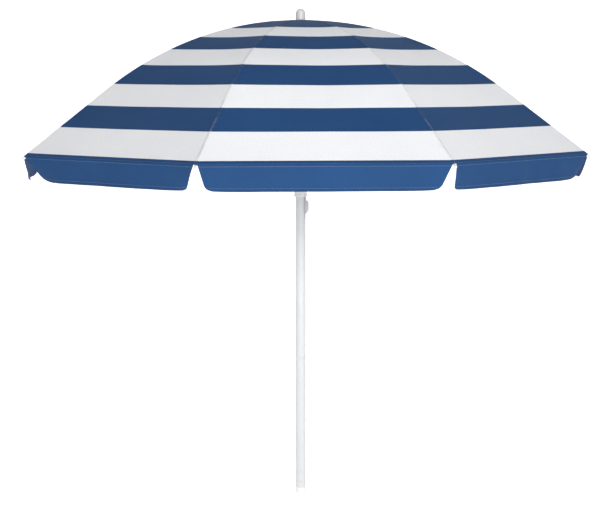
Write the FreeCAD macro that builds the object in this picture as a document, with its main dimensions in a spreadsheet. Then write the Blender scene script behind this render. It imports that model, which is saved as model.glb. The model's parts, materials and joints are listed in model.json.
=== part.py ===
"""Folding beach umbrella with eight ribs, a striped canopy and a two-piece steel pole.

The origin is the bottom centre of the foot, +Z runs up the pole and lengths are in millimetres.
The ribs stand 22.5 degrees either side of the X and Y directions, so that four of the eight
fabric gores face +X, +Y, -X and -Y.
"""
import FreeCAD, Part
import math
import os
import Sketcher

V = FreeCAD.Vector
UP = V(0, 0, 1)

DRIVING = {
    # canopy
    "canopy_radius": 900,
    "canopy_rise": 404,
    "rim_slope": 36.7,
    "rim_height": 1103,
    "fabric_thickness": 1.4,
    "valance_drop": 72,
    "valance_inset": 34,
    "valance_gap": 6,
    "centre_hole_radius": 6,
    # ribs and stretchers
    "rib_radius": 2.5,
    "rib_below_fabric": 5,
    "tip_sleeve_wall": 0.8,
    "tip_ball_radius": 4.2,
    "tip_sleeve_length": 18,
    "tongue_thickness": 2.6,
    "tongue_length": 16,
    "eye_radius": 4,
    "pivot_ring_radius": 26,
    "pivot_wire_radius": 1,
    "pivot_clearance": 0.08,
    "wire_clearance": 0.05,
    "crown_pivot_drop": 9,
    "bracket_along_rib": 420,
    "bracket_drop": 9,
    "bracket_rivet_radius": 1.25,
    "stretcher_radius": 3,
    "runner_pivot_below_rim": 100,
    # crown and runner
    "notch_width": 3.4,
    "notch_ring_radius": 31,
    "notch_floor_radius": 20.5,
    "crown_flange_below_pivot": 11,
    "crown_ring_below_pivot": 7,
    "crown_height": 13,
    "crown_plug_depth": 10,
    "ring_edge": 2,
    "sleeve_radius": 19.5,
    "runner_clearance": 0.4,
    "runner_height": 54,
    "runner_pivot_height": 46,
    "runner_ring_from": 38,
    "grip_height": 5,
    "grip_thickness": 1.5,
    # pole
    "pole_radius": 16,
    "pole_wall": 1.2,
    "pole_joint_height": 450,
    "spigot_half_length": 90,
    "spigot_wall": 1.5,
    "spigot_clearance": 0.08,
    "tube_chamfer": 0.8,
    "rivet_radius": 2,
    "foot_height": 22,
    "foot_recess": 0.4,
    "foot_taper": 5,
    "foot_plug_depth": 26,
    # catch under the runner
    "catch_top_below_rim": 147,
    "catch_length": 60,
    "catch_thickness": 2.4,
    "catch_reach": 16,
    "catch_azimuth": -45,
    "catch_pin_radius": 1.5,
    "catch_pin_offset": 6,
    "catch_pin_below": 8,
    # finial
    "finial_radius": 15,
    "finial_height": 34.5,
    "stud_radius": 4,
    "stud_length": 16,
    "washer_radius": 18,
    "washer_thickness": 1.3,
}

RIB_COUNT = 8
GORE_HALF_ANGLE = 180.0 / RIB_COUNT

doc = FreeCAD.newDocument("beach_umbrella")
sizes = doc.addObject("Spreadsheet::Sheet", "sizes")
for row, (alias, number) in enumerate(DRIVING.items(), start=1):
    sizes.set(f"A{row}", alias)
    sizes.set(f"B{row}", str(number))
    sizes.setAlias(f"B{row}", alias)
doc.recompute()

parts = []


def size(alias):
    """The driving dimension held in the sheet under this name."""
    return float(sizes.get(alias))


def finished(item, label):
    """Name a document object as one piece of the umbrella."""
    item.Label = label
    parts.append(item)
    return item


def origin_plane(body, role):
    return next(f for f in body.Origin.OriginFeatures if f.Role == role)


def new_body(name):
    return doc.addObject("PartDesign::Body", name + "_body")


def new_sketch(body, name, role="XZ_Plane", lift=0.0):
    """A sketch on one of the body's own planes, moved along that plane's normal by lift."""
    sketch = body.newObject("Sketcher::SketchObject", name)
    sketch.AttachmentSupport = (origin_plane(body, role), "")
    sketch.MapMode = "FlatFace"
    sketch.AttachmentOffset = FreeCAD.Placement(V(0, 0, lift), FreeCAD.Rotation())
    return sketch


def add_circle(sketch, radius_expression, centre=(0, 0)):
    """A circle about centre whose radius follows an expression of the sheet's values."""
    radius = float(sizes.evalExpression(radius_expression))
    middle = V(centre[0], centre[1], 0)
    index = sketch.addGeometry(Part.Circle(middle, UP, radius), False)
    constraint = sketch.addConstraint(Sketcher.Constraint("Radius", index, radius))
    sketch.setExpression(f"Constraints[{constraint}]", radius_expression)


def add_outline(sketch, points):
    """A closed polygon; each corner is a pair of expressions of the sheet's values."""
    corners = [V(float(sizes.evalExpression(x)), float(sizes.evalExpression(y)), 0) for x, y in points]
    count = len(corners)
    for i in range(count):
        sketch.addGeometry(Part.LineSegment(corners[i], corners[(i + 1) % count]), False)
    for i in range(count):
        sketch.addConstraint(Sketcher.Constraint("Coincident", i, 2, (i + 1) % count, 1))
        for kind, text, value in (
            ("DistanceX", points[i][0], corners[i].x),
            ("DistanceY", points[i][1], corners[i].y),
        ):
            made = sketch.addConstraint(Sketcher.Constraint(kind, -1, 1, i, 1, value))
            sketch.setExpression(f"Constraints[{made}]", text)


def add_polygon(sketch, corners):
    """A closed polygon with its corners at plain coordinates."""
    for here, there in zip(corners, corners[1:] + corners[:1]):
        sketch.addGeometry(Part.LineSegment(V(*here, 0), V(*there, 0)), False)


def turned(label, points, bottom):
    """A body of revolution about Z, from a profile of (radius, height) expressions."""
    body = new_body(label)
    sketch = new_sketch(body, label + "_profile")
    add_outline(sketch, points)
    turn = body.newObject("PartDesign::Revolution", label + "_turn")
    turn.Profile = sketch
    turn.ReferenceAxis = (sketch, ["V_Axis"])
    turn.Angle = 360
    body.Placement = FreeCAD.Placement(V(0, 0, bottom), FreeCAD.Rotation())
    doc.recompute()
    return body


def pocket(body, sketch, name, length, symmetric=True):
    """A pocket through material on both sides of its sketch."""
    cut = body.newObject("PartDesign::Pocket", name)
    cut.Profile = sketch
    cut.Length = length
    cut.Midplane = symmetric
    return cut


def cross_hole(body, name, radius_expression, centre):
    """A round hole right through a body along its own Y, at this (x, z)."""
    sketch = new_sketch(body, name)
    add_circle(sketch, radius_expression, centre)
    cut = pocket(body, sketch, name + "_cut", 4 * size("pole_radius"))
    doc.recompute()
    return cut


# ---------------------------------------------------------------- shape of the canopy and the linkage

RADIUS = size("canopy_radius")
RISE = size("canopy_rise")
RIM_Z = size("rim_height")
SLOPE = math.radians(size("rim_slope"))


def dome_radius():
    """Radius of the arc that starts level at the apex and runs tangent into the straight rim slope."""
    rim_run = RADIUS * math.tan(SLOPE) - RISE
    per_radius = math.sin(SLOPE) * math.tan(SLOPE) - (1 - math.cos(SLOPE))
    return rim_run / per_radius


DOME = dome_radius()
TANGENT = (DOME * math.sin(SLOPE), RIM_Z + RISE - DOME * (1 - math.cos(SLOPE)))
RIM = (RADIUS, RIM_Z)
OUTWARD_NORMAL = (math.sin(SLOPE), math.cos(SLOPE))
DOWN_SLOPE = (math.cos(SLOPE), -math.sin(SLOPE))


def shifted(point, direction, distance):
    return (point[0] + direction[0] * distance, point[1] + direction[1] * distance)


RIB_START = (size("pivot_ring_radius"), RIM_Z + RISE - size("crown_pivot_drop"))
RIB_TANGENT = shifted(TANGENT, OUTWARD_NORMAL, -size("rib_below_fabric"))
RIB_END = shifted(RIM, OUTWARD_NORMAL, -size("rib_below_fabric"))


def rib_arc():
    """Centre and radius of the rib's arc, through its pivot and tangent to its straight outer run."""
    across = (RIB_TANGENT[0] - RIB_START[0], RIB_TANGENT[1] - RIB_START[1])
    along_normal = across[0] * OUTWARD_NORMAL[0] + across[1] * OUTWARD_NORMAL[1]
    radius = (across[0] ** 2 + across[1] ** 2) / (2 * along_normal)
    return shifted(RIB_TANGENT, OUTWARD_NORMAL, -radius), radius


RIB_CENTRE, RIB_BEND = rib_arc()


def rib_angle(distance):
    """Angle from the vertical at the rib's arc centre, after this distance along the rib."""
    first = math.atan2(RIB_START[0] - RIB_CENTRE[0], RIB_START[1] - RIB_CENTRE[1])
    return first + distance / RIB_BEND


def rib_point(distance):
    angle = rib_angle(distance)
    return shifted(RIB_CENTRE, (math.sin(angle), math.cos(angle)), RIB_BEND)


BRACKET_ANGLE = rib_angle(size("bracket_along_rib"))
BRACKET_ON_RIB = rib_point(size("bracket_along_rib"))
BRACKET_NORMAL = (math.sin(BRACKET_ANGLE), math.cos(BRACKET_ANGLE))
BRACKET_PIVOT = shifted(BRACKET_ON_RIB, BRACKET_NORMAL, -size("bracket_drop"))
RUNNER_PIVOT = (size("pivot_ring_radius"), RIM_Z - size("runner_pivot_below_rim"))


def in_rib_plane(point, side=0.0):
    """A point given by radius and height, as a vector of the plane of the rib that lies along +X."""
    return V(point[0], side, point[1])


def rib_turn(index):
    """The turn about Z that carries the rib along +X to its own direction, for index 1 to 8."""
    angle = GORE_HALF_ANGLE + (index - 1) * 2 * GORE_HALF_ANGLE
    return FreeCAD.Placement(V(0, 0, 0), FreeCAD.Rotation(UP, angle))


# ---------------------------------------------------------------- pole


def rivet_height():
    return size("pole_joint_height") - size("spigot_half_length") / 2


def make_pole():
    """The lower tube with its deburred upper end, the spigot inside it, and the plug in its foot."""
    inner = "sizes.pole_radius - sizes.pole_wall"
    height = "sizes.pole_joint_height - sizes.foot_height"
    rivet_hole = "sizes.rivet_radius + sizes.pivot_clearance"
    pole = turned(
        "lower_pole",
        [
            (inner, "0"),
            ("sizes.pole_radius", "0"),
            ("sizes.pole_radius", height + " - sizes.tube_chamfer"),
            ("sizes.pole_radius - sizes.tube_chamfer", height),
            (inner, height),
        ],
        size("foot_height"),
    )
    cross_hole(pole, "lower_pole_rivet_hole", rivet_hole, (0, rivet_height() - size("foot_height")))
    finished(pole, "lower_pole")

    outside = inner + " - sizes.spigot_clearance"
    inside = outside + " - sizes.spigot_wall"
    length = "2 * sizes.spigot_half_length"
    bottom = size("pole_joint_height") - size("spigot_half_length")
    spigot = turned("pole_spigot", [(inside, "0"), (outside, "0"), (outside, length), (inside, length)], bottom)
    cross_hole(spigot, "pole_spigot_rivet_hole", rivet_hole, (0, rivet_height() - bottom))
    finished(spigot, "pole_spigot")

    foot = "sizes.pole_radius - sizes.foot_recess"
    end = "sizes.foot_height + sizes.foot_plug_depth"
    plug = turned(
        "foot_plug",
        [
            ("0", "0"),
            (foot + " - 0.7 * sizes.foot_taper", "0"),
            (foot, "sizes.foot_taper"),
            (foot, "sizes.foot_height"),
            (inner, "sizes.foot_height"),
            (inner, end + " - sizes.ring_edge"),
            (inner + " - sizes.ring_edge", end),
            ("0", end),
        ],
        0,
    )
    finished(plug, "foot_plug")


def make_spigot_rivet():
    """One rivet across the lower pole that holds the spigot in it, ground flush with the tube."""
    half_length = math.sqrt(size("pole_radius") ** 2 - size("rivet_radius") ** 2)
    rivet = doc.addObject("Part::Cylinder", "spigot_rivet")
    rivet.setExpression("Radius", "sizes.rivet_radius")
    rivet.Height = 2 * half_length
    lying = FreeCAD.Rotation(V(1, 0, 0), 90)
    rivet.Placement = FreeCAD.Placement(V(0, half_length, rivet_height()), lying)
    finished(rivet, "spigot_rivet")


def make_upper_pole():
    """The upper tube, with the slot that the catch comes out of and the holes for its pin."""
    inner = "sizes.pole_radius - sizes.pole_wall"
    crown_seat = "sizes.rim_height + sizes.canopy_rise - sizes.crown_pivot_drop - sizes.crown_flange_below_pivot"
    height = crown_seat + " - sizes.pole_joint_height"
    bottom = size("pole_joint_height")
    body = turned(
        "upper_pole",
        [
            (inner, "0"),
            ("sizes.pole_radius - sizes.tube_chamfer", "0"),
            ("sizes.pole_radius", "sizes.tube_chamfer"),
            ("sizes.pole_radius", height),
            (inner, height),
        ],
        bottom,
    )
    slot_margin = 3
    half = size("catch_thickness") / 2 + size("runner_clearance")
    near, far = size("catch_pin_offset"), size("pole_radius") + 4
    slot = new_sketch(body, "catch_slot", "XY_Plane", catch_bottom() - slot_margin - bottom)
    add_polygon(slot, [(near, -half), (far, -half), (far, half), (near, half)])
    slot_cut = pocket(body, slot, "catch_slot_cut", size("catch_length") + slot_margin + 1, False)
    slot_cut.Reversed = True
    pivot = catch_pivot()
    cross_hole(body, "catch_pin_hole", "sizes.catch_pin_radius", (pivot[0], pivot[1] - bottom))
    turn = FreeCAD.Rotation(UP, size("catch_azimuth"))
    body.Placement = FreeCAD.Placement(V(0, 0, bottom), turn)
    finished(body, "upper_pole")


# ---------------------------------------------------------------- catch


def catch_bottom():
    return RIM_Z - size("catch_top_below_rim") - size("catch_length")


def catch_pivot():
    """Radius and height of the pin that the catch turns on, inside the pole."""
    return (size("catch_pin_offset"), catch_bottom() - size("catch_pin_below"))


def make_catch():
    """A flat blade that stands out of the pole under the runner, with a thumb pad below its shoulder."""
    wall = size("pole_radius")
    reach = wall + size("catch_reach")
    top, bottom = catch_bottom() + size("catch_length"), catch_bottom()
    pivot_radius, pivot_height = catch_pivot()
    eye, shoulder, shoulder_drop, back_slope, tucked_in = 4, 7, 10, 12, 2
    pad_corner, pad_foot, pad_face_low, pad_face_drop = 3, 14, 20, 18
    outline = [
        (pivot_radius - eye, pivot_height - eye),
        (pivot_radius + eye, pivot_height - eye),
        (wall - tucked_in, bottom),
        (reach - pad_corner, bottom + pad_foot),
        (reach, bottom + pad_face_low),
        (reach, top - pad_face_drop),
        (reach - pad_corner, top - back_slope),
        (wall + shoulder, top - shoulder_drop),
        (wall + shoulder, top),
        (wall - 2 * tucked_in, top),
        (pivot_radius - eye, top - back_slope),
    ]
    body = new_body("runner_catch")
    sketch = new_sketch(body, "runner_catch_outline")
    add_polygon(sketch, outline)
    pad = body.newObject("PartDesign::Pad", "runner_catch_pad")
    pad.Profile = sketch
    pad.Midplane = True
    pad.setExpression("Length", "sizes.catch_thickness")
    doc.recompute()
    cross_hole(body, "runner_catch_hole", "sizes.catch_pin_radius + sizes.pivot_clearance", catch_pivot())
    turn = FreeCAD.Rotation(UP, size("catch_azimuth"))
    body.Placement = FreeCAD.Placement(V(0, 0, 0), turn)
    finished(body, "runner_catch")

    half_length = math.sqrt(wall ** 2 - (pivot_radius + size("catch_pin_radius")) ** 2)
    pin = doc.addObject("Part::Cylinder", "catch_pin")
    pin.setExpression("Radius", "sizes.catch_pin_radius")
    pin.Height = 2 * half_length
    lying = FreeCAD.Rotation(V(1, 0, 0), 90)
    start = turn.multVec(V(pivot_radius, half_length, pivot_height))
    pin.Placement = FreeCAD.Placement(start, turn.multiply(lying))
    finished(pin, "catch_pin")


# ---------------------------------------------------------------- crown, runner and finial


def notched(body, name, top):
    """Eight radial notches down through the rim of a turned body, each as deep as the rim's ring."""
    sketch = new_sketch(body, name + "_notch", "XY_Plane", top)
    half = size("notch_width") / 2
    inner, outer = size("notch_floor_radius"), size("notch_ring_radius") + size("ring_edge")
    depth = 20
    add_polygon(sketch, [(inner, -half), (outer, -half), (outer, half), (inner, half)])
    cut = pocket(body, sketch, name + "_notch_cut", depth, False)
    pattern = body.newObject("PartDesign::PolarPattern", name + "_notches")
    pattern.Originals = [cut]
    pattern.Axis = (sketch, ["N_Axis"])
    pattern.Angle = 360
    pattern.Occurrences = RIB_COUNT
    body.Tip = pattern
    doc.recompute()


def wire_room():
    """Half the width of the groove that the pivot wire lies in."""
    return size("pivot_wire_radius") + size("wire_clearance")


def wire_groove(low, high):
    """Corners of the profile of the groove that the pivot wire lies in."""
    ring, half = size("pivot_ring_radius"), wire_room()
    return [(ring - half, low), (ring + half, low), (ring + half, high), (ring - half, high)]


def groove(body, name, corners):
    sketch = new_sketch(body, name + "_groove")
    add_polygon(sketch, corners)
    cut = body.newObject("PartDesign::Groove", name + "_groove_cut")
    cut.Profile = sketch
    cut.ReferenceAxis = (sketch, ["V_Axis"])
    cut.Angle = 360
    body.Tip = cut
    doc.recompute()


def make_crown():
    """The notched hub on the pole's top that the ribs hang from."""
    pivot_height, height = size("crown_ring_below_pivot"), size("crown_height")
    base = RIB_START[1] - pivot_height
    bore = "sizes.stud_radius + sizes.pivot_clearance"
    plug = "sizes.pole_radius - sizes.pole_wall"
    flange = "sizes.pole_radius + sizes.ring_edge"
    seat = "sizes.crown_ring_below_pivot - sizes.crown_flange_below_pivot"
    plug_end = seat + " - sizes.crown_plug_depth"
    body = turned(
        "crown",
        [
            (bore, plug_end),
            (plug, plug_end),
            (plug, seat),
            (flange, seat),
            (flange, "0"),
            ("sizes.notch_ring_radius", "0"),
            ("sizes.notch_ring_radius", "sizes.crown_height - 1"),
            ("sizes.notch_ring_radius - sizes.ring_edge", "sizes.crown_height"),
            (bore, "sizes.crown_height"),
        ],
        base,
    )
    groove(body, "crown", wire_groove(pivot_height - wire_room(), height + 1))
    notched(body, "crown", height)
    body.Placement = FreeCAD.Placement(V(0, 0, base), FreeCAD.Rotation(UP, GORE_HALF_ANGLE))
    finished(body, "crown")


def make_runner():
    """The sleeve that slides on the pole, with a notched ring at its top for the stretchers."""
    pivot_height, height = size("runner_pivot_height"), size("runner_height")
    base = RUNNER_PIVOT[1] - pivot_height
    bore = "sizes.pole_radius + sizes.runner_clearance"
    grip = "sizes.sleeve_radius + sizes.grip_thickness"
    ring = "sizes.notch_ring_radius"
    body = turned(
        "runner",
        [
            (bore, "0"),
            (grip, "0"),
            (grip, "sizes.grip_height"),
            ("sizes.sleeve_radius", "sizes.grip_height + sizes.ring_edge"),
            ("sizes.sleeve_radius", "sizes.runner_ring_from - 1"),
            (ring, "sizes.runner_ring_from"),
            (ring, "sizes.runner_height - sizes.ring_edge"),
            (ring + " - sizes.ring_edge", "sizes.runner_height"),
            (bore, "sizes.runner_height"),
        ],
        base,
    )
    groove(body, "runner", wire_groove(size("runner_ring_from") - 2, pivot_height + wire_room()))
    notched(body, "runner", height)
    body.Placement = FreeCAD.Placement(V(0, 0, base), FreeCAD.Rotation(UP, GORE_HALF_ANGLE))
    finished(body, "runner")


def make_pivot_wire(label, height):
    ring = doc.addObject("Part::Torus", label)
    ring.setExpression("Radius1", "sizes.pivot_ring_radius")
    ring.setExpression("Radius2", "sizes.pivot_wire_radius")
    ring.Placement = FreeCAD.Placement(V(0, 0, height), FreeCAD.Rotation())
    finished(ring, label)


def make_finial():
    """A domed cap on a stud that goes through the canopy into the crown, with a washer under it."""
    fabric_top = RIM_Z + RISE
    lift = 0.2
    hole = "sizes.stud_radius + 0.3"
    washer = turned(
        "canopy_washer",
        [
            (hole, "0"),
            ("sizes.washer_radius", "0"),
            ("sizes.washer_radius - 1", "sizes.washer_thickness"),
            (hole, "sizes.washer_thickness"),
        ],
        fabric_top + lift,
    )
    finished(washer, "canopy_washer")

    radius, height = size("finial_radius"), size("finial_height")
    stud, stud_end = size("stud_radius"), -size("stud_length")
    shoulder, edge = height - radius, 2
    half_way = radius * math.sqrt(0.5)
    corners = [(0, stud_end), (stud, stud_end), (stud, 0), (radius - edge, 0), (radius, edge), (radius, shoulder)]
    body = new_body("finial")
    sketch = new_sketch(body, "finial_profile")
    for here, there in zip(corners, corners[1:]):
        sketch.addGeometry(Part.LineSegment(V(*here, 0), V(*there, 0)), False)
    dome = Part.Arc(V(radius, shoulder, 0), V(half_way, shoulder + half_way, 0), V(0, height, 0))
    sketch.addGeometry(dome, False)
    sketch.addGeometry(Part.LineSegment(V(0, height, 0), V(0, stud_end, 0)), False)
    turn = body.newObject("PartDesign::Revolution", "finial_turn")
    turn.Profile = sketch
    turn.ReferenceAxis = (sketch, ["V_Axis"])
    turn.Angle = 360
    base = fabric_top + lift + size("washer_thickness")
    body.Placement = FreeCAD.Placement(V(0, 0, base), FreeCAD.Rotation())
    finished(body, "finial")


# ---------------------------------------------------------------- ribs, tips, brackets and stretchers


def add_tongue(body, name, centre, toward, hole, mouth=None):
    """A flat tongue with a round eye, in the body's XZ plane, whose far end joins a round rod."""
    eye, length = size("eye_radius"), size("tongue_length") + 3
    side = (-toward[1], toward[0])
    near = shifted(centre, side, eye)
    far = shifted(near, toward, length)
    back = shifted(centre, toward, -eye)
    low_near = shifted(centre, side, -eye)
    low_far = shifted(low_near, toward, length)
    sketch = new_sketch(body, name)
    sketch.addGeometry(Part.LineSegment(V(*near, 0), V(*far, 0)), False)
    sketch.addGeometry(Part.LineSegment(V(*far, 0), V(*low_far, 0)), False)
    sketch.addGeometry(Part.LineSegment(V(*low_far, 0), V(*low_near, 0)), False)
    sketch.addGeometry(Part.Arc(V(*low_near, 0), V(*back, 0), V(*near, 0)), False)
    pad = body.newObject("PartDesign::Pad", name + "_pad")
    pad.Profile = sketch
    pad.Midplane = True
    pad.setExpression("Length", "sizes.tongue_thickness")
    doc.recompute()
    bore = new_sketch(body, name + "_eye")
    add_circle(bore, hole, centre)
    cut = pocket(body, bore, name + "_eye_cut", 20)
    doc.recompute()
    if mouth is None:
        return cut
    slack, flare = 0.3, 1.0
    gap = size("pivot_wire_radius") + slack
    across = (-mouth[1], mouth[0])
    tail = shifted(centre, mouth, 1.5 * eye)
    slot = new_sketch(body, name + "_mouth")
    add_polygon(
        slot,
        [
            shifted(centre, across, gap),
            shifted(tail, across, gap + flare),
            shifted(tail, across, -gap - flare),
            shifted(centre, across, -gap),
        ],
    )
    cut = pocket(body, slot, name + "_mouth_cut", 20)
    doc.recompute()
    return cut


def rod_sketch(body, name, at, along, radius):
    """A circle square to a direction of the body's XZ plane, where a rod starts."""
    sketch = body.newObject("Sketcher::SketchObject", name)
    turn = FreeCAD.Rotation(UP, V(along[0], 0, along[1]))
    sketch.Placement = FreeCAD.Placement(in_rib_plane(at), turn)
    add_circle(sketch, radius)
    return sketch


def make_rib(index):
    """A round steel rib: a flat tongue at the crown, a long gentle arc, then straight to the tip."""
    label = f"rib_{index}"
    body = new_body(label)
    start_angle = rib_angle(0)
    add_tongue(
        body,
        label + "_tongue",
        RIB_START,
        (math.cos(start_angle), -math.sin(start_angle)),
        "sizes.pivot_wire_radius + sizes.pivot_clearance",
    )
    path = new_sketch(body, label + "_path")
    first = rib_point(size("tongue_length"))
    middle = rib_point(RIB_BEND * (rib_angle(0) + SLOPE) / 2)
    path.addGeometry(Part.Arc(V(*first, 0), V(*middle, 0), V(*RIB_TANGENT, 0)), False)
    path.addGeometry(Part.LineSegment(V(*RIB_TANGENT, 0), V(*RIB_END, 0)), False)
    angle = rib_angle(size("tongue_length"))
    section = rod_sketch(body, label + "_section", first, (math.cos(angle), -math.sin(angle)), "sizes.rib_radius")
    pipe = body.newObject("PartDesign::AdditivePipe", label + "_rod")
    pipe.Profile = section
    pipe.Spine = path
    body.Tip = pipe
    body.Placement = rib_turn(index)
    finished(body, label)


def make_rib_tip(index):
    """A moulded cap on the rib's end: a sleeve under the canopy's corner and a small ball beyond it."""
    label = f"rib_tip_{index}"
    bore, ball = size("rib_radius") + size("pivot_clearance"), size("tip_ball_radius")
    sleeve = size("rib_radius") + size("tip_sleeve_wall")
    start, end = -size("tip_sleeve_length"), 6.0
    neck = end - math.sqrt(ball ** 2 - sleeve ** 2)
    body = new_body(label)
    sketch = new_sketch(body, label + "_profile")
    sketch.addGeometry(Part.LineSegment(V(bore, start, 0), V(sleeve, start, 0)), False)
    sketch.addGeometry(Part.LineSegment(V(sleeve, start, 0), V(sleeve, neck, 0)), False)
    sketch.addGeometry(Part.Arc(V(sleeve, neck, 0), V(ball, end, 0), V(0, end + ball, 0)), False)
    sketch.addGeometry(Part.LineSegment(V(0, end + ball, 0), V(0, 0, 0)), False)
    sketch.addGeometry(Part.LineSegment(V(0, 0, 0), V(bore, 0, 0)), False)
    sketch.addGeometry(Part.LineSegment(V(bore, 0, 0), V(bore, start, 0)), False)
    turn = body.newObject("PartDesign::Revolution", label + "_turn")
    turn.Profile = sketch
    turn.ReferenceAxis = (sketch, ["V_Axis"])
    turn.Angle = 360
    along = FreeCAD.Rotation(UP, V(DOWN_SLOPE[0], 0, DOWN_SLOPE[1]))
    body.Placement = rib_turn(index).multiply(FreeCAD.Placement(in_rib_plane(RIB_END), along))
    finished(body, label)


def make_bracket(index):
    """A saddle riveted round the rib, with two ears that the stretcher's eye turns between."""
    label = f"rib_bracket_{index}"
    drop, eye = size("bracket_drop"), size("eye_radius")
    channel_radius = size("rib_radius") + size("pivot_clearance")
    rivet_radius, head_radius, head_height = size("bracket_rivet_radius"), 2.4, 1.0
    half_length, half_width, top, ear_margin = 7.0, 4.0, 2.0, 0.8
    gap = size("notch_width")
    across = V(0, 1, 0)
    near_side = V(0, -half_width, -drop)
    block = Part.makeBox(2 * half_length, 2 * half_width, top + drop, V(-half_length, -half_width, -drop))
    ear = Part.makeCylinder(eye + ear_margin, 2 * half_width, near_side, across)
    channel = Part.makeCylinder(channel_radius, 4 * half_length, V(-2 * half_length, 0, 0), V(1, 0, 0))
    mouth = Part.makeBox(4 * half_length, 2 * channel_radius, 2 * channel_radius)
    mouth.translate(V(-2 * half_length, -channel_radius, 0))
    slot_depth = drop + eye
    slot = Part.makeBox(4 * half_length, gap, slot_depth)
    slot.translate(V(-2 * half_length, -gap / 2, -drop + eye + 0.5 - slot_depth))
    bore = Part.makeCylinder(rivet_radius, 4 * half_width, V(0, -2 * half_width, -drop), across)
    saddle = block.fuse(ear).cut([channel, mouth, slot, bore]).removeSplitter()
    shank = Part.makeCylinder(rivet_radius, 2 * half_width, near_side, across)
    heads = [
        Part.makeCylinder(head_radius, head_height, V(0, half_width, -drop), across),
        Part.makeCylinder(head_radius, head_height, near_side, -across),
    ]
    rivet = shank.fuse(heads).removeSplitter()
    bracket = doc.addObject("Part::Feature", label)
    bracket.Shape = Part.makeCompound([saddle, rivet])
    turn = FreeCAD.Rotation(V(0, 1, 0), math.degrees(BRACKET_ANGLE))
    at = FreeCAD.Placement(in_rib_plane(BRACKET_ON_RIB), turn)
    bracket.Placement = rib_turn(index).multiply(at)
    finished(bracket, label)


def make_stretcher(index):
    """A round stay from the rib's bracket down to the runner, flattened to a tongue at each end."""
    label = f"stretcher_{index}"
    reach = (BRACKET_PIVOT[0] - RUNNER_PIVOT[0], BRACKET_PIVOT[1] - RUNNER_PIVOT[1])
    length = math.hypot(*reach)
    up = (reach[0] / length, reach[1] / length)
    down = (-up[0], -up[1])
    body = new_body(label)
    top_hole = "sizes.bracket_rivet_radius + sizes.pivot_clearance"
    add_tongue(body, label + "_top", BRACKET_PIVOT, down, top_hole)
    start = shifted(RUNNER_PIVOT, up, size("tongue_length"))
    end = shifted(BRACKET_PIVOT, down, size("tongue_length"))
    section = rod_sketch(body, label + "_section", start, up, "sizes.stretcher_radius")
    rod = body.newObject("PartDesign::Pad", label + "_rod")
    rod.Profile = section
    rod.Length = math.hypot(end[0] - start[0], end[1] - start[1])
    doc.recompute()
    mouth_angle = math.radians(120)
    mouth = (math.cos(mouth_angle), math.sin(mouth_angle))
    foot_hole = "sizes.pivot_wire_radius + sizes.pivot_clearance"
    add_tongue(body, label + "_foot", RUNNER_PIVOT, up, foot_hole, mouth)
    body.Placement = rib_turn(index)
    finished(body, label)


# ---------------------------------------------------------------- canopy


def canopy_band():
    """The canopy's section in a rib's plane: dome, straight slope and hanging valance, as a face."""
    cloth = size("fabric_thickness")
    inner_dome = DOME - cloth
    hole = size("centre_hole_radius") / 2
    centre = (0.0, RIM_Z + RISE - DOME)
    outer_start = (hole, centre[1] + math.sqrt(DOME ** 2 - hole ** 2))
    inner_start = (hole, centre[1] + math.sqrt(inner_dome ** 2 - hole ** 2))
    half = (math.sin(SLOPE / 2), math.cos(SLOPE / 2))
    inner_tangent = shifted(TANGENT, OUTWARD_NORMAL, -cloth)
    inner_rim_x = RADIUS - cloth
    inner_rim_z = inner_tangent[1] - (inner_rim_x - inner_tangent[0]) * math.tan(SLOPE)
    hem = RIM_Z - size("valance_drop")

    def point(pair):
        return in_rib_plane(pair)

    def line(a, b):
        return Part.LineSegment(point(a), point(b)).toShape()

    edges = [
        Part.Arc(point(outer_start), point(shifted(centre, half, DOME)), point(TANGENT)).toShape(),
        line(TANGENT, RIM),
        line(RIM, (RADIUS, hem)),
        line((RADIUS, hem), (inner_rim_x, hem)),
        line((inner_rim_x, hem), (inner_rim_x, inner_rim_z)),
        line((inner_rim_x, inner_rim_z), inner_tangent),
        Part.Arc(point(inner_tangent), point(shifted(centre, half, inner_dome)), point(inner_start)).toShape(),
        line(inner_start, outer_start),
    ]
    return Part.Face(Part.Wire(edges))


def half_gore():
    """Half a gore: the section swept square to the gore's middle, from the rib to that middle."""
    angle = math.radians(GORE_HALF_ANGLE)
    across = V(-math.sin(angle), math.cos(angle), 0)
    middle = V(math.cos(angle), math.sin(angle), 0)
    sweep = canopy_band().extrude(across * (RADIUS * math.sin(angle) + 10))
    keep = Part.makeBox(2 * RADIUS, 2 * RADIUS, 2 * RADIUS, V(-RADIUS / 2, -2 * RADIUS, 0))
    keep.rotate(V(0, 0, 0), UP, GORE_HALF_ANGLE)
    keep.translate(V(0, 0, RIM_Z - RADIUS))
    body = sweep.common(keep)
    top = RIM_Z - size("fabric_thickness") / 3
    hem = RIM_Z - size("valance_drop") - 1
    corner = V(RADIUS, 0, 0)

    def on_flap(along, height):
        base = corner + across * along - middle * cut_depth / 2
        return V(base.x, base.y, height)

    gap, inset, past_rib, cut_depth = size("valance_gap"), size("valance_inset"), -8, 20
    corners = [on_flap(past_rib, top), on_flap(gap, top), on_flap(inset, hem), on_flap(past_rib, hem)]
    notch = Part.Face(Part.makePolygon(corners + corners[:1])).extrude(middle * cut_depth)
    hole = Part.makeCylinder(size("centre_hole_radius"), 2 * RADIUS)
    return body.cut([notch, hole])


def make_canopy():
    """Eight cloth panels, each of two half gores that meet over a rib."""
    near = half_gore()
    panel = Part.makeCompound([near, near.mirror(V(0, 0, 0), V(0, 1, 0))])
    for index in range(1, RIB_COUNT + 1):
        label = f"canopy_{index}"
        sheet = doc.addObject("Part::Feature", label)
        sheet.Shape = panel.copy()
        sheet.Placement = rib_turn(index)
        finished(sheet, label)


# ---------------------------------------------------------------- build and write

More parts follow.
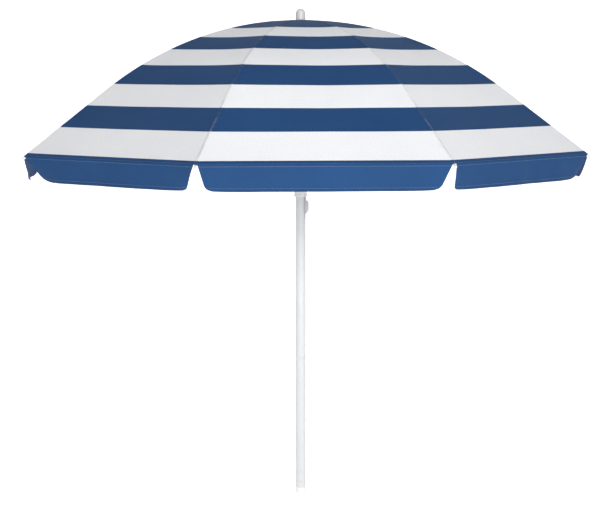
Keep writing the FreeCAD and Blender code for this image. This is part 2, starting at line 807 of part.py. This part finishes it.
make_pole()
make_spigot_rivet()
make_upper_pole()
make_catch()
make_crown()
make_pivot_wire("crown_wire", RIB_START[1])
make_finial()
make_runner()
make_pivot_wire("runner_wire", RUNNER_PIVOT[1])
for number in range(1, RIB_COUNT + 1):
    make_rib(number)
    make_rib_tip(number)
    make_bracket(number)
    make_stretcher(number)
make_canopy()
doc.recompute()

faults = [o.Name for o in doc.Objects if "Invalid" in o.State or "Error" in o.State]
faults += [o.Label for o in parts if o.Shape.isNull() or not o.Shape.isValid() or not o.Shape.Solids]
if faults:
    raise RuntimeError("these objects failed: " + ", ".join(faults))

os.makedirs("parts", exist_ok=True)
for item in parts:
    item.Shape.exportStep(f"parts/{item.Label}.step")
    print(f"{item.Label:18s} solids {len(item.Shape.Solids)} volume {item.Shape.Volume / 1000:9.2f} cm3")
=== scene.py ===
"""Beach umbrella: striped cloth canopy, painted steel pole, ribs and stretchers, in a plain pale studio.

Lengths are in metres, in the part's own frame: +Z up the pole, the foot's underside at the origin.
The cloth is built rib by rib: each rib carries the half gore on either side of it.
"""
import json
import math

import bpy
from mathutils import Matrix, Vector, noise


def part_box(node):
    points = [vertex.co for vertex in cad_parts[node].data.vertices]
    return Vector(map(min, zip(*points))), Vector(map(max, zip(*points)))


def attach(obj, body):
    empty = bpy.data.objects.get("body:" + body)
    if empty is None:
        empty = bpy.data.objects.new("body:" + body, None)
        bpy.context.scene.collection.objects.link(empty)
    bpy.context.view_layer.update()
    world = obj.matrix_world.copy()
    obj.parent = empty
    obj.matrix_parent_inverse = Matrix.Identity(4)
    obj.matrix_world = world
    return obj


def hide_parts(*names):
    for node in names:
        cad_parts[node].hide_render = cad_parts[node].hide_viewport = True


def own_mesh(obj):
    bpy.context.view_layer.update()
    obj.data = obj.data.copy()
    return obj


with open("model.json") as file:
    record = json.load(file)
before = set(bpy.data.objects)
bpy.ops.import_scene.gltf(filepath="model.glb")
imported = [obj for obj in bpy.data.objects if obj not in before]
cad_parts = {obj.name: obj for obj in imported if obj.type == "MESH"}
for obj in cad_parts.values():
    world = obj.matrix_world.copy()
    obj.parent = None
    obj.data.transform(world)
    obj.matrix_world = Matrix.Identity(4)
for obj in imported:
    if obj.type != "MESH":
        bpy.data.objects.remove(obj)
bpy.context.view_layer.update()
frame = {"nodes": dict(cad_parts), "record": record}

# ---------------------------------------------------------------- shape of the canopy, from the frame

RIB_COUNT = 8
HALF_GORE = math.pi / RIB_COUNT
RIM_SLOPE = math.radians(36.7)
VALANCE_GAP = 0.006
VALANCE_INSET = 0.034
VALANCE_CORNER = 0.016
CLOTH_RECESS = 0.0003
RIM_Z = 1.103

canopy_boxes = [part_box(f"canopy_{i}") for i in range(1, RIB_COUNT + 1)]
APEX_Z = max(high.z for low, high in canopy_boxes) - CLOTH_RECESS
HEM_Z = min(low.z for low, high in canopy_boxes)
VALANCE_DROP = RIM_Z - HEM_Z
RIM_RADIUS = max(high.x for low, high in canopy_boxes) / math.cos(HALF_GORE) - CLOTH_RECESS
RISE = APEX_Z - RIM_Z

DOME = (RIM_RADIUS * math.tan(RIM_SLOPE) - RISE) / (
    math.sin(RIM_SLOPE) * math.tan(RIM_SLOPE) - (1 - math.cos(RIM_SLOPE))
)
DOME_LENGTH = DOME * RIM_SLOPE
RIB_LENGTH = DOME_LENGTH + (RIM_RADIUS - DOME * math.sin(RIM_SLOPE)) / math.cos(RIM_SLOPE)

# stripes, as distances along a rib from the apex
CAP_REACH = 0.2675 * RIM_RADIUS
STRIPE = 0.1164 * RIM_RADIUS
LAST_NAVY = 6
HEADING = 0.0165
APEX_HOLE = 0.034

# the bands that each half gore is cut into, their edges counted in stripes from the cap
EDGES_IN_STRIPES = (0, 2, 4, LAST_NAVY, 6.6)
BAND_EDGES = [APEX_HOLE] + [CAP_REACH + k * STRIPE for k in EDGES_IN_STRIPES] + [RIB_LENGTH]
PLEAT_TILT = 0.6
ROW_SPACING = 0.009

# relief of the cloth
SAG = 0.003
PUCKER_HEIGHT = 0.0016
PUCKER_REACH = 0.035
PUCKER_START = 0.004
PUCKERS_PER_METRE = 46
DRAPE_HEIGHT = 0.0022
DRAPE_SCALE = 5.5
FLAP_WAVE = 0.0035
FLAP_WAVE_RATE = 23
FLAP_RIPPLE = 0.0016
FLAP_RIPPLE_RATE = 61
FLAP_WAVE_DEPTH = 0.6
FLAP_LEAN = 0.004
FLAP_CURL = 0.010
FLAP_CURL_REACH = 0.028
FLAP_CURL_LIFT = 0.15
HEM_FOLD = 0.0012
HEM_WIDTH = 0.009
# how much further in (or out) the seen valance corners hang than they are cut, by rib and side
CORNER_TUCK = {
    (5, 1): 0.045,
    (6, -1): 0.010,
    (6, 1): -0.006,
    (7, -1): 0.004,
    (7, 1): -0.022,
    (8, -1): 0.020,
}
SEAM_HALF = 0.0042
SEAM_RISE = 0.0006
SEAM_SIDE = 0.020


def rib_section(along):
    """Radius, height and slope angle of the canopy over a rib, this far along it from the apex."""
    if along <= DOME_LENGTH:
        angle = along / DOME
        return DOME * math.sin(angle), APEX_Z - DOME * (1 - math.cos(angle)), angle
    run = along - DOME_LENGTH
    radius = DOME * math.sin(RIM_SLOPE) + run * math.cos(RIM_SLOPE)
    height = APEX_Z - DOME * (1 - math.cos(RIM_SLOPE)) - run * math.sin(RIM_SLOPE)
    return radius, height, RIM_SLOPE


def rib_azimuth(index):
    return HALF_GORE + (index - 1) * 2 * HALF_GORE


# ---------------------------------------------------------------- camera and studio


def make_camera():
    """A long lens a little above the rim, turned so that the front gore faces slightly right."""
    distance, height = 5.67 * RIM_RADIUS, RIM_Z + 0.262 * RIM_RADIUS
    side_turn = math.radians(4.6)
    pitch, yaw = math.radians(6.28), math.radians(-0.19)
    camera = bpy.data.objects.new("camera", bpy.data.cameras.new("camera"))
    bpy.context.collection.objects.link(camera)
    camera.location = (-distance * math.sin(side_turn), -distance * math.cos(side_turn), height)
    camera.rotation_euler = (math.pi / 2 - pitch, 0, -side_turn + yaw)
    camera.data.sensor_width = 36
    camera.data.lens = 95.4
    camera.data.clip_end = 100
    bpy.context.scene.camera = camera


def make_floor():
    """A pale floor that curves up into a backdrop far behind the umbrella."""
    width, front, back, wall, radius, steps = 30.0, -14.0, 12.0, 12.0, 5.0, 16
    profile = [(front, 0.0), (back - radius, 0.0)]
    for k in range(1, steps + 1):
        angle = math.pi / 2 * k / steps
        profile.append((back - radius + radius * math.sin(angle), radius * (1 - math.cos(angle))))
    profile.append((back, wall))
    points = [(x, y, z) for y, z in profile for x in (-width / 2, width / 2)]
    faces = [(2 * k, 2 * k + 1, 2 * k + 3, 2 * k + 2) for k in range(len(profile) - 1)]
    floor = mesh_object("studio_floor", points, faces)
    material, _, _, shader = new_material("studio_pale")
    shader.inputs["Base Color"].default_value = (0.9, 0.9, 0.9, 1)
    shader.inputs["Roughness"].default_value = 0.9
    shader.inputs["Emission Color"].default_value = (1, 1, 1, 1)
    shader.inputs["Emission Strength"].default_value = 0.85
    floor.data.materials.append(material)


def make_light(name, place, target, size, power):
    data = bpy.data.lights.new(name, "AREA")
    data.shape = "DISK"
    data.size = size
    data.energy = power
    light = bpy.data.objects.new(name, data)
    bpy.context.collection.objects.link(light)
    light.location = place
    light.rotation_euler = (Vector(target) - Vector(place)).to_track_quat("-Z", "Y").to_euler()


def make_lights():
    """A soft frontal key above the rim's height, weak fills from the left and the top, and a dim even sky."""
    middle = (0, 0, RIM_Z)
    make_light("key_light", (0.6, -6.0, 2.2), middle, 2.2, 300)
    make_light("left_fill", (-5.0, -3.0, 2.5), middle, 3.0, 12)
    make_light("top_light", (0.3, -0.8, 6.0), middle, 4.0, 25)
    world = bpy.data.worlds.new("studio_world")
    world.use_nodes = True
    world.node_tree.nodes["Background"].inputs["Color"].default_value = (1, 1, 1, 1)
    world.node_tree.nodes["Background"].inputs["Strength"].default_value = 0.2
    bpy.context.scene.world = world
    bpy.context.scene.view_settings.view_transform = "Standard"


# ---------------------------------------------------------------- node helpers


def mesh_object(name, points, faces, smooth=True):
    mesh = bpy.data.meshes.new(name)
    mesh.from_pydata([tuple(p) for p in points], [], faces)
    mesh.update()
    mesh.polygons.foreach_set("use_smooth", [smooth] * len(mesh.polygons))
    made = bpy.data.objects.new(name, mesh)
    bpy.context.collection.objects.link(made)
    return made


def new_material(name):
    material = bpy.data.materials.new(name)
    material.use_nodes = True
    nodes, links = material.node_tree.nodes, material.node_tree.links
    return material, nodes, links, nodes["Principled BSDF"]


class Graph:
    """Short ways to add and join the nodes of one material."""

    def __init__(self, name):
        self.material, self.nodes, self.links, self.shader = new_material(name)

    def put(self, socket, value):
        if isinstance(value, bpy.types.NodeSocket):
            self.links.new(value, socket)
        else:
            socket.default_value = value

    def math(self, operation, a, b=0.0, c=0.0):
        node = self.nodes.new("ShaderNodeMath")
        node.operation = operation
        for socket, value in zip(node.inputs, (a, b, c)):
            self.put(socket, value)
        return node.outputs[0]

    def noise(self, vector, scale, detail=3.0, roughness=0.5):
        node = self.nodes.new("ShaderNodeTexNoise")
        self.put(node.inputs["Vector"], vector)
        node.inputs["Scale"].default_value = scale
        node.inputs["Detail"].default_value = detail
        node.inputs["Roughness"].default_value = roughness
        return node.outputs["Fac"]

    def mix(self, factor, a, b):
        node = self.nodes.new("ShaderNodeMix")
        node.data_type = "RGBA"
        self.put(node.inputs["Factor"], factor)
        self.put(node.inputs[6], a)
        self.put(node.inputs[7], b)
        return node.outputs[2]

    def spread(self, value, low, high, new_low, new_high):
        node = self.nodes.new("ShaderNodeMapRange")
        self.put(node.inputs["Value"], value)
        limits = {"From Min": low, "From Max": high, "To Min": new_low, "To Max": new_high}
        for name, number in limits.items():
            node.inputs[name].default_value = number
        return node.outputs[0]

    def bump(self, height, distance, strength=1.0, onto=None):
        node = self.nodes.new("ShaderNodeBump")
        node.inputs["Strength"].default_value = strength
        node.inputs["Distance"].default_value = distance
        self.put(node.inputs["Height"], height)
        if onto is not None:
            self.put(node.inputs["Normal"], onto)
        return node.outputs[0]

    def object_place(self):
        return self.nodes.new("ShaderNodeTexCoord").outputs["Object"]


# ---------------------------------------------------------------- canopy cloth material

NAVY = (0.012, 0.054, 0.155, 1)
NAVY_WORN = (0.016, 0.063, 0.175, 1)
WHITE = (0.80, 0.81, 0.83, 1)
WHITE_CLEAN = (0.84, 0.845, 0.86, 1)
THREAD = (0.55, 0.60, 0.70, 1)


def cloth_material():
    """Plain-woven polyester with navy and white bands, stitched seams and hems."""
    g = Graph("canopy_cloth")
    uv = g.nodes.new("ShaderNodeUVMap")
    uv.uv_map = "cloth"
    split = g.nodes.new("ShaderNodeSeparateXYZ")
    g.links.new(uv.outputs[0], split.inputs[0])
    across, along = split.outputs[0], split.outputs[1]
    place = g.object_place()

    # bands: the yarn edge wanders by a fraction of a millimetre
    wander = g.spread(g.noise(uv.outputs[0], 900.0, 1.0), 0, 1, -0.0004, 0.0004)
    edge = g.math("ADD", along, wander)
    count = g.math("DIVIDE", g.math("SUBTRACT", edge, CAP_REACH), STRIPE)
    even = g.math("LESS_THAN", g.math("MODULO", count, 2.0), 1.0)
    outermost = g.math("GREATER_THAN", count, float(LAST_NAVY))
    pale = g.math("MAXIMUM", even, outermost)
    pale = g.math("MULTIPLY", pale, g.math("GREATER_THAN", count, 0.0))
    pale = g.math("MULTIPLY", pale, g.math("LESS_THAN", edge, RIB_LENGTH - HEADING))

    mottle = g.noise(place, 5.0, 4.0, 0.6)
    fade = g.spread(mottle, 0.3, 0.7, 0.0, 1.0)
    navy = g.mix(fade, NAVY, NAVY_WORN)
    white = g.mix(fade, WHITE, WHITE_CLEAN)
    colour = g.mix(pale, navy, white)

    # threads of the weave
    pitch = 0.0007
    warp = g.math("ABSOLUTE", g.math("SINE", g.math("MULTIPLY", across, math.pi / pitch)))
    weft = g.math("ABSOLUTE", g.math("SINE", g.math("MULTIPLY", along, math.pi / pitch)))
    weave = g.math("MULTIPLY", warp, weft)
    shade = g.spread(weave, 0, 1, 0.90, 1.04)
    slub = g.spread(g.noise(uv.outputs[0], 220.0, 2.0), 0.3, 0.7, 0.96, 1.03)
    tone = g.nodes.new("ShaderNodeVectorMath")
    tone.operation = "SCALE"
    g.links.new(colour, tone.inputs[0])
    g.links.new(g.math("MULTIPLY", shade, slub), tone.inputs["Scale"])

    # stitches: dashes along the seams over the ribs, the rim and the hem
    dash_length = 0.0045

    def stitches(distance, where, travel):
        near = g.math("COMPARE", distance, where, 0.00035)
        dash = g.math("LESS_THAN", g.math("FRACT", g.math("DIVIDE", travel, dash_length)), 0.62)
        return g.math("MULTIPLY", near, dash)

    seam = stitches(across, SEAM_HALF - 0.0012, along)
    rim = stitches(along, RIB_LENGTH - 0.004, across)
    lower_rim = stitches(along, RIB_LENGTH + 0.005, across)
    hem = stitches(along, RIB_LENGTH + VALANCE_DROP - HEM_WIDTH, across)
    sewn = g.math("MAXIMUM", g.math("MAXIMUM", seam, rim), g.math("MAXIMUM", lower_rim, hem))
    final = g.mix(g.math("MULTIPLY", sewn, 0.3), tone.outputs[0], THREAD)
    g.links.new(final, g.shader.inputs["Base Color"])

    rough = g.spread(mottle, 0.3, 0.7, 0.72, 0.84)
    g.links.new(rough, g.shader.inputs["Roughness"])
    g.shader.inputs["Specular IOR Level"].default_value = 0.18
    g.shader.inputs["Sheen Weight"].default_value = 0.03
    g.shader.inputs["Sheen Roughness"].default_value = 0.5
    creases = g.bump(g.noise(place, 38.0, 3.0, 0.55), 0.0012, 0.35)
    woven = g.bump(weave, 0.00008, 0.5, creases)
    stitched = g.bump(sewn, 0.0003, 0.8, woven)
    g.links.new(stitched, g.shader.inputs["Normal"])

    through = g.nodes.new("ShaderNodeBsdfTranslucent")
    g.links.new(final, through.inputs["Color"])
    g.links.new(stitched, through.inputs["Normal"])
    blend = g.nodes.new("ShaderNodeMixShader")
    blend.inputs[0].default_value = 0.22
    g.links.new(g.shader.outputs[0], blend.inputs[1])
    g.links.new(through.outputs[0], blend.inputs[2])
    g.links.new(blend.outputs[0], g.nodes["Material Output"].inputs["Surface"])
    return g.material


# ---------------------------------------------------------------- canopy cloth


def seam_columns(full):
    """Distances from the rib to the gore's middle: close at the seam and the gap, then even."""
    close = [0.0, SEAM_HALF / 2, SEAM_HALF, 0.0050, VALANCE_GAP, 0.009, 0.0135, SEAM_SIDE]
    steps = 26
    return close + [SEAM_SIDE + (full - SEAM_SIDE) * k / steps for k in range(1, steps + 1)]


def flap_start(drop, tuck):
    """Where the valance begins, as a distance from the rib, this far below the rim."""
    start = VALANCE_GAP + (VALANCE_INSET + tuck - VALANCE_GAP) * drop / VALANCE_DROP
    round_from = VALANCE_DROP - VALANCE_CORNER
    if drop > round_from:
        down = min(drop - round_from, VALANCE_CORNER)
        start += VALANCE_CORNER - math.sqrt(VALANCE_CORNER ** 2 - down ** 2)
    return start


class HalfGore:
    """The cloth from one rib to the middle of the gore on its +1 or -1 side."""

    def __init__(self, index, side):
        self.index, self.side = index, side
        azimuth = rib_azimuth(index)
        self.out = Vector((math.cos(azimuth), math.sin(azimuth), 0))
        middle = azimuth + side * HALF_GORE
        self.middle = Vector((math.cos(middle), math.sin(middle), 0))
        self.across = Vector((-math.sin(middle), math.cos(middle), 0)) * side
        self.gore = index if side > 0 else (index - 2) % RIB_COUNT + 1
        self.points, self.faces, self.marks = [], [], []

    def add_row(self, row):
        first = len(self.points)
        for point, mark in row:
            self.points.append(point)
            self.marks.append(mark)
        return list(range(first, first + len(row)))

    def join(self, upper, lower):
        for a, b, c, d in zip(upper, upper[1:], lower[1:], lower):
            self.faces.append((a, d, c, b) if self.side > 0 else (a, b, c, d))

    def surface(self, along, distance):
        """A point of the taut cloth, with its sag between the ribs, the seam and the puckers beside it."""
        radius, height, slope = rib_section(along)
        widest = radius * math.sin(HALF_GORE)
        share = min(distance / widest, 1.0)
        tilt = math.atan(math.tan(slope) / math.cos(HALF_GORE))
        normal = self.middle * math.sin(tilt) + Vector((0, 0, math.cos(tilt)))
        point = self.out * radius + self.across * distance + Vector((0, 0, height))
        reach = along / RIB_LENGTH
        sag = SAG * math.sin(math.pi * reach) ** 1.2 * share * (2 - share) if 0 < reach < 1 else 0.0
        seam = SEAM_RISE if distance <= SEAM_HALF else 0.0
        pull = math.exp(-distance / PUCKER_REACH) * (1 - math.exp(-distance / PUCKER_START))
        own_pattern = Vector((along * PUCKERS_PER_METRE, self.gore * 7.3, 0.4))
        pucker = PUCKER_HEIGHT * pull * noise.noise(own_pattern)
        drape = DRAPE_HEIGHT * share * (1 - reach ** 4) * noise.noise(point * DRAPE_SCALE)
        above_rim = 1.0 if along < RIB_LENGTH - 1e-6 else 0.0
        return point - normal * (sag - (pucker + drape) * above_rim - seam)

    def flap(self, drop, column, full):
        """A point of the valance, this far below the rim; it hangs nearly plumb and curls in at its end."""
        start = flap_start(drop, CORNER_TUCK.get((self.index, self.side), 0.0))
        share = (column - VALANCE_GAP) / (full - VALANCE_GAP)
        distance = start + share * (full - start)
        low = drop / VALANCE_DROP
        run = distance if self.side > 0 else 2 * full - distance
        wave = FLAP_WAVE * low * math.sin(run * FLAP_WAVE_RATE + self.gore * 2.1)
        ripple = FLAP_RIPPLE * low * math.sin(run * FLAP_RIPPLE_RATE + self.gore)
        curl = FLAP_CURL * low ** 1.6 * math.exp(-(distance - start) / FLAP_CURL_REACH)
        top = self.out * RIM_RADIUS + self.across * distance + Vector((0, 0, RIM_Z))
        inward = self.middle * (curl + FLAP_LEAN * low - FLAP_WAVE_DEPTH * (wave + ripple))
        return top - inward + Vector((0, 0, -drop + FLAP_CURL_LIFT * curl))

    def build(self, name, start, end, valance):
        full = RIM_RADIUS * math.sin(HALF_GORE)
        columns = seam_columns(full)
        fixed = columns.index(SEAM_SIDE) + 1
        spare = len(columns) - fixed
        rows = max(8, round((end - start) / ROW_SPACING))
        before = None
        for k in range(rows + 1):
            along = start + (end - start) * k / rows
            widest = rib_section(along)[0] * math.sin(HALF_GORE)
            squeeze = min(1.0, widest / (CAP_REACH * math.sin(HALF_GORE)))
            inner = [c * squeeze for c in columns[:fixed]]
            rest = [inner[-1] + (widest - inner[-1]) * (j + 1) / spare for j in range(spare)]
            row = [(self.surface(along, c), (c, along)) for c in inner + rest]
            here = self.add_row(row)
            if before:
                self.join(before, here)
            before = here
        if valance:
            self.add_valance(before, columns, full)
        made = mesh_object(name, self.points, self.faces)
        layer = made.data.uv_layers.new(name="cloth")
        for loop in made.data.loops:
            layer.data[loop.index].uv = self.marks[loop.vertex_index]
        made.data.materials.append(CLOTH)
        return made

    def add_valance(self, rim_row, columns, full):
        """Hang the flap from the rim's row, then turn its hem up inside."""
        first = columns.index(VALANCE_GAP)
        before = rim_row[first:]
        rows = 14
        for k in range(1, rows + 1):
            drop = VALANCE_DROP * k / rows
            row = [(self.flap(drop, c, full), (c, RIB_LENGTH + drop)) for c in columns[first:]]
            here = self.add_row(row)
            self.join(before, here)
            before = here
        for drop in (VALANCE_DROP, VALANCE_DROP - 0.004, VALANCE_DROP - HEM_WIDTH):
            row = []
            for c in columns[first:]:
                point = self.flap(drop, c, full) - self.middle * HEM_FOLD
                row.append((point, (c, RIB_LENGTH + 2 * VALANCE_DROP - drop)))
            here = self.add_row(row)
            self.join(before, here)
            before = here


def rib_pivot():
    """Radius and height of the ribs' pivot at the crown, and how far they turn as the umbrella closes."""
    behaviour = frame["record"]["behaviour"]
    joints = {joint["name"]: joint for joint in behaviour["joints"]}
    ratios = {row["joint"]: row["ratio"] for row in behaviour["couplings"]}
    x, y, z = joints["rib_1_fold"]["pos_m"]
    return math.hypot(x, y), z, ratios["rib_1_fold"] * joints["runner_slide"]["range_m"][1]


def gather(along):
    """How the cloth beside a rib gathers at this distance along it.

    Gives the tilt of the way it closes up, and the share of its width that it keeps when the gores'
    middles meet between the folded ribs.
    """
    pivot_radius, pivot_height, turn = rib_pivot()
    radius, height, slope = rib_section(along)
    side = radius * math.cos(HALF_GORE) * math.sin(HALF_GORE)
    depth = radius * math.sin(HALF_GORE) ** 2
    tilt = PLEAT_TILT * math.atan2(depth * math.sin(slope), side)
    reach = side * math.cos(tilt) + depth * math.sin(slope) * math.sin(tilt)

    def crossing(keep):
        closed = (1 - keep) * reach
        across = side - closed * math.cos(tilt)
        out = radius - depth + closed * math.sin(tilt) * math.sin(slope) - pivot_radius
        up = height + closed * math.sin(tilt) * math.cos(slope) - pivot_height
        folded_radius = pivot_radius + out * math.cos(turn) + up * math.sin(turn)
        return across - folded_radius * math.tan(HALF_GORE)

    low, high = 0.02, 1.0
    for _ in range(30):
        keep = (low + high) / 2
        low, high = (low, keep) if crossing(keep) > 0 else (keep, high)
    return tilt, keep


def make_canopy():
    """Sixteen half gores, in bands, each hung from its rib."""
    for index in range(1, RIB_COUNT + 1):
        for side, letter in ((-1, "a"), (1, "b")):
            for band, (start, end) in enumerate(zip(BAND_EDGES, BAND_EDGES[1:]), 1):
                outermost = end == RIB_LENGTH
                gore = HalfGore(index, side)
                cloth = gore.build(f"canopy_{index}{letter}_band_{band}", start, end, outermost)
                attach(cloth, f"rib_{index}")
                solved_at = end if outermost else (start + end) / 2
                tilt, keep = gather(solved_at)
                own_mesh(cloth)
                if outermost and side > 0:
                    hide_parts(f"canopy_{index}")


def make_apex_patch():
    """The round cloth patch that reinforces the canopy's middle, under the finial's washer."""
    rings, spokes = 7, 64
    inner, outer = 0.006, 0.043
    points, faces, marks = [], [], []
    lift, edge_lift = 0.0009, 0.0003
    # the patch's marks lie in the navy cap and clear of the seams' stitches
    mark_across, mark_along = 0.02, 0.05
    for k in range(rings + 1):
        along = inner + (outer - inner) * k / rings
        radius, height, _ = rib_section(along)
        top = height + (lift if k < rings else edge_lift)
        for j in range(spokes):
            angle = 2 * math.pi * j / spokes
            points.append((radius * math.cos(angle), radius * math.sin(angle), top))
            marks.append((mark_across + along, mark_along + along))
    for k in range(rings):
        for j in range(spokes):
            a, b = k * spokes + j, k * spokes + (j + 1) % spokes
            faces.append((a, a + spokes, b + spokes, b))
    patch = mesh_object("canopy_apex_patch", points, faces)
    layer = patch.data.uv_layers.new(name="cloth")
    for loop in patch.data.loops:
        layer.data[loop.index].uv = marks[loop.vertex_index]
    patch.data.materials.append(CLOTH)
    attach(patch, "upper_pole")


# ---------------------------------------------------------------- hard materials


def painted_pole():
    """White powder coat with a fine orange peel, and scuffs that show where it goes into a base."""
    g = Graph("pole_powder_coat")
    place = g.object_place()
    split = g.nodes.new("ShaderNodeSeparateXYZ")
    g.links.new(place, split.inputs[0])
    tint = g.mix(g.noise(place, 9.0, 3.0), (0.50, 0.505, 0.51, 1), (0.56, 0.565, 0.57, 1))
    low = g.math("MAXIMUM", g.spread(split.outputs[2], 0.02, 0.22, 1.0, 0.0), 0.0)
    scuff = g.math("GREATER_THAN", g.noise(place, 160.0, 5.0, 0.65), 0.66)
    worn = g.math("MULTIPLY", scuff, g.math("MULTIPLY", low, 0.5))
    g.links.new(g.mix(worn, tint, (0.55, 0.55, 0.54, 1)), g.shader.inputs["Base Color"])
    g.links.new(g.spread(g.noise(place, 30.0), 0.3, 0.7, 0.26, 0.38), g.shader.inputs["Roughness"])
    g.links.new(g.bump(g.noise(place, 700.0, 2.0), 0.00005, 0.35), g.shader.inputs["Normal"])
    g.shader.inputs["Coat Weight"].default_value = 0.2
    return g.material


def moulded_plastic(name, low, high):
    """Moulded plastic: faint flow marks in the colour and a fine spark-eroded grain."""
    g = Graph(name)
    place = g.object_place()
    g.links.new(g.mix(g.noise(place, 35.0, 2.0), low, high), g.shader.inputs["Base Color"])
    g.links.new(g.spread(g.noise(place, 120.0), 0.3, 0.7, 0.32, 0.46), g.shader.inputs["Roughness"])
    g.links.new(g.bump(g.noise(place, 1800.0, 2.0), 0.00004, 0.4), g.shader.inputs["Normal"])
    return g.material


def metal(name, low, high, roughness, grain):
    """Plated or sprung steel with drawn lines along it."""
    g = Graph(name)
    place = g.object_place()
    stretch = g.nodes.new("ShaderNodeMapping")
    g.links.new(place, stretch.inputs[0])
    stretch.inputs["Scale"].default_value = (grain, grain, grain * 0.04)
    lines = g.noise(stretch.outputs[0], 8.0, 4.0, 0.6)
    g.links.new(g.mix(lines, low, high), g.shader.inputs["Base Color"])
    g.links.new(g.spread(lines, 0.3, 0.7, roughness - 0.06, roughness + 0.08), g.shader.inputs["Roughness"])
    g.links.new(g.bump(lines, 0.00003, 0.3), g.shader.inputs["Normal"])
    g.shader.inputs["Metallic"].default_value = 1.0
    return g.material


def coated_wire():
    """Ribs and stretchers: pale grey dip-coated steel wire, a little duller where hands and cloth rub."""
    g = Graph("rib_coating")
    place = g.object_place()
    worn = g.noise(place, 14.0, 5.0, 0.6)
    g.links.new(g.mix(worn, (0.62, 0.63, 0.64, 1), (0.74, 0.745, 0.75, 1)), g.shader.inputs["Base Color"])
    g.links.new(g.spread(worn, 0.3, 0.7, 0.30, 0.5), g.shader.inputs["Roughness"])
    g.links.new(g.bump(g.noise(place, 600.0, 2.0), 0.00004, 0.3), g.shader.inputs["Normal"])
    return g.material


def paint_cad_nodes():
    """Give every CAD node that shows the material of its slot."""
    slots = {row["node"]: row["material_slot"] for row in frame["record"]["subparts"]}
    made = {
        "pole_paint": painted_pole(),
        "white_plastic": moulded_plastic("white_plastic", (0.62, 0.62, 0.61, 1), (0.70, 0.70, 0.69, 1)),
        "rib_steel": coated_wire(),
        "steel": metal("zinc_steel", (0.50, 0.51, 0.53, 1), (0.66, 0.67, 0.69, 1), 0.34, 60.0),
        "catch_steel": metal("spring_steel", (0.58, 0.59, 0.61, 1), (0.72, 0.73, 0.75, 1), 0.40, 90.0),
    }
    for node, item in frame["nodes"].items():
        slot = slots[node]
        if slot not in made:
            continue
        item.data.materials.clear()
        item.data.materials.append(made[slot])


CLOTH = cloth_material()
make_camera()
make_floor()
make_lights()
make_canopy()
make_apex_patch()
paint_cad_nodes()
